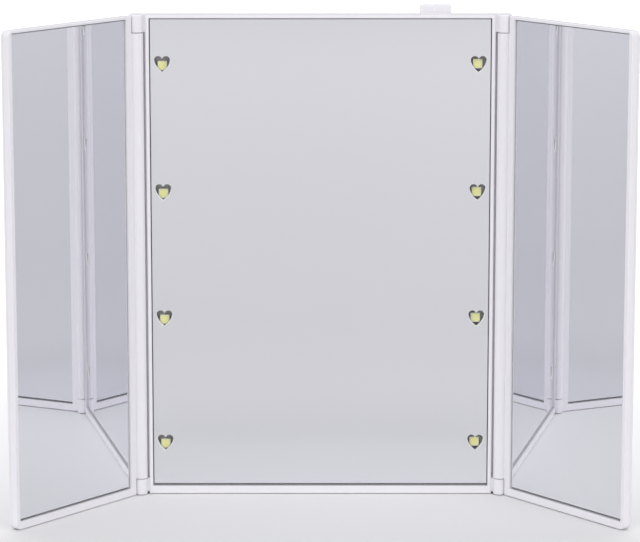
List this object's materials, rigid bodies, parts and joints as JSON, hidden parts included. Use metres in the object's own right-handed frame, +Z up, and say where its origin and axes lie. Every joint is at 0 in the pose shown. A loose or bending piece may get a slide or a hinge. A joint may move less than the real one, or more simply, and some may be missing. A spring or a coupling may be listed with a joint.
{
  "type": "lighted makeup mirror",
  "caption": "Folding tabletop makeup mirror: a wide centre panel lit by LEDs behind heart-shaped windows, half-width wings on side hinges, a push button on top and a battery bay at the back.",
  "frame": {"origin": "on the underside of the centre panel, below the front face of its mirror, midway between the two hinges", "axes": "+X to the viewer's right, +Y away from the viewer towards the back of the centre panel, +Z up"},
  "size_m": [0.2352, 0.0727, 0.1925],
  "materials": {
    "white_plastic": "glossy moulded white",
    "mirror_glass": "silvered glass",
    "foam_tape": "white foam",
    "circuit_board": "dark solder mask",
    "led_body": "white package",
    "led_phosphor": "unlit phosphor in silicone",
    "resistor_ceramic": "black chip",
    "switch_black": "black",
    "switch_white": "white",
    "spring_steel": "wire",
    "cell_jacket": "plain sleeve",
    "contact_metal": "nickel plated",
    "wire_red": "insulation",
    "wire_black": "insulation",
    "screw_steel": "zinc plated",
    "pin_steel": "ground wire"
  },
  "bodies": {
    "centre_panel": {"front_bezel": "white_plastic", "rear_housing": "white_plastic", "centre_mirror": "mirror_glass", "centre_mirror_tape": "foam_tape", "left_led_board": "circuit_board", "right_led_board": "circuit_board", "left_led_packages": "led_body", "right_led_packages": "led_body", "left_led_phosphors": "led_phosphor", "right_led_phosphors": "led_phosphor", "led_resistors": "resistor_ceramic", "switch_board": "circuit_board", "switch_can": "switch_black", "switch_spring": "spring_steel", "aaa_cells": "cell_jacket", "battery_contacts": "contact_metal", "battery_springs": "contact_metal", "wire_battery_to_switch": "wire_red", "wire_switch_to_right_leds": "wire_red", "wire_switch_to_left_leds": "wire_red", "wire_return_to_left_leds": "wire_black", "wire_return_to_right_leds": "wire_black", "housing_screws": "screw_steel", "left_hinge_pins": "pin_steel", "right_hinge_pins": "pin_steel"},
    "left_wing": {"left_wing_frame": "white_plastic", "left_wing_back_cover": "white_plastic", "left_wing_mirror": "mirror_glass", "left_wing_mirror_tape": "foam_tape"},
    "right_wing": {"right_wing_frame": "white_plastic", "right_wing_back_cover": "white_plastic", "right_wing_mirror": "mirror_glass", "right_wing_mirror_tape": "foam_tape"},
    "button": {"power_button": "white_plastic", "switch_plunger": "switch_white"},
    "door": {"battery_door": "white_plastic"}
  },
  "joints": [
    {"name": "left_wing_hinge", "type": "hinge", "parent": "centre_panel", "child": "left_wing", "pos_m": [-0.0706, -0.0011, 0.095], "axis": [0, 0, 1], "range_deg": [-51.5, 128.5]},
    {"name": "right_wing_hinge", "type": "hinge", "parent": "centre_panel", "child": "right_wing", "pos_m": [0.0706, -0.0011, 0.095], "axis": [0, 0, -1], "range_deg": [-51.5, 128.5]},
    {"name": "power_button_press", "type": "slide", "parent": "centre_panel", "child": "button", "axis": [0, 0, -1], "range_m": [0, 0.0015], "stiffness_N_per_m": 800, "springref_m": -0.001, "deforming": ["switch_spring"]},
    {"name": "battery_door_tilt", "type": "hinge", "parent": "centre_panel", "child": "door", "pos_m": [0, 0.017, 0.0202], "axis": [-1, 0, 0], "range_deg": [0, 55]}
  ]
}
